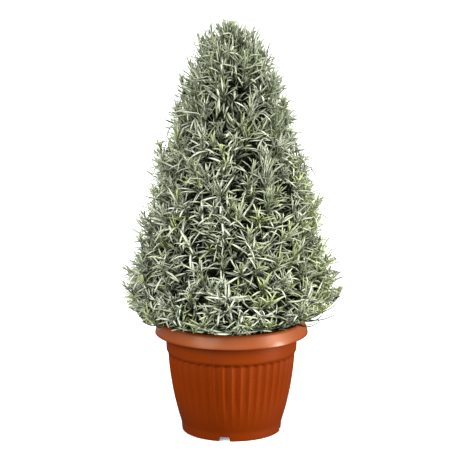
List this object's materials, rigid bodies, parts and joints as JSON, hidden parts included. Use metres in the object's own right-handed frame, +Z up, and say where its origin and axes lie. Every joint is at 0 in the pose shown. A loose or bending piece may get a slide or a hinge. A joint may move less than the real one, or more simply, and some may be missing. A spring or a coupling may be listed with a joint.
{
  "type": "potted lavender",
  "caption": "Lavender clipped to a tall cone of narrow silver-green leaves, in a round fluted pot with a sloping collar and a plain band.",
  "frame": {"origin": "centre of the pot's foot, on the surface that the pot stands on", "axes": "+Z up along the pot's axis; -Y is the side seen in the picture; +X to the right in the picture"},
  "size_m": [0.3255, 0.3292, 0.6443],
  "materials": {
    "pot_plastic": "satin terracotta-coloured moulded plastic",
    "potting_soil": "dark crumbly peat with bark",
    "bark": "grey-brown flaky bark",
    "leaf": "soft matte silver-grey felt over green"
  },
  "bodies": {
    "root": {"pot": "pot_plastic", "soil": "potting_soil", "wood": "bark", "spray_01": "leaf", "spray_02": "leaf", "spray_03": "leaf", "spray_04": "leaf", "spray_05": "leaf", "spray_06": "leaf", "spray_07": "leaf", "spray_08": "leaf", "spray_09": "leaf", "spray_10": "leaf", "spray_11": "leaf", "spray_12": "leaf", "spray_13": "leaf", "spray_14": "leaf", "spray_15": "leaf", "spray_16": "leaf", "spray_17": "leaf", "spray_18": "leaf", "spray_19": "leaf", "spray_20": "leaf", "spray_21": "leaf", "spray_22": "leaf", "spray_23": "leaf", "spray_24": "leaf", "spray_25": "leaf", "spray_26": "leaf", "spray_27": "leaf", "spray_28": "leaf", "spray_29": "leaf", "spray_30": "leaf", "spray_31": "leaf", "spray_32": "leaf", "spray_33": "leaf", "spray_34": "leaf", "spray_35": "leaf", "spray_36": "leaf", "spray_37": "leaf", "spray_38": "leaf", "spray_39": "leaf", "spray_40": "leaf", "spray_41": "leaf", "spray_42": "leaf", "spray_43": "leaf", "spray_44": "leaf", "spray_45": "leaf", "spray_46": "leaf", "spray_47": "leaf", "spray_48": "leaf", "spray_49": "leaf", "spray_50": "leaf", "spray_51": "leaf"}
  },
  "joints": []
}
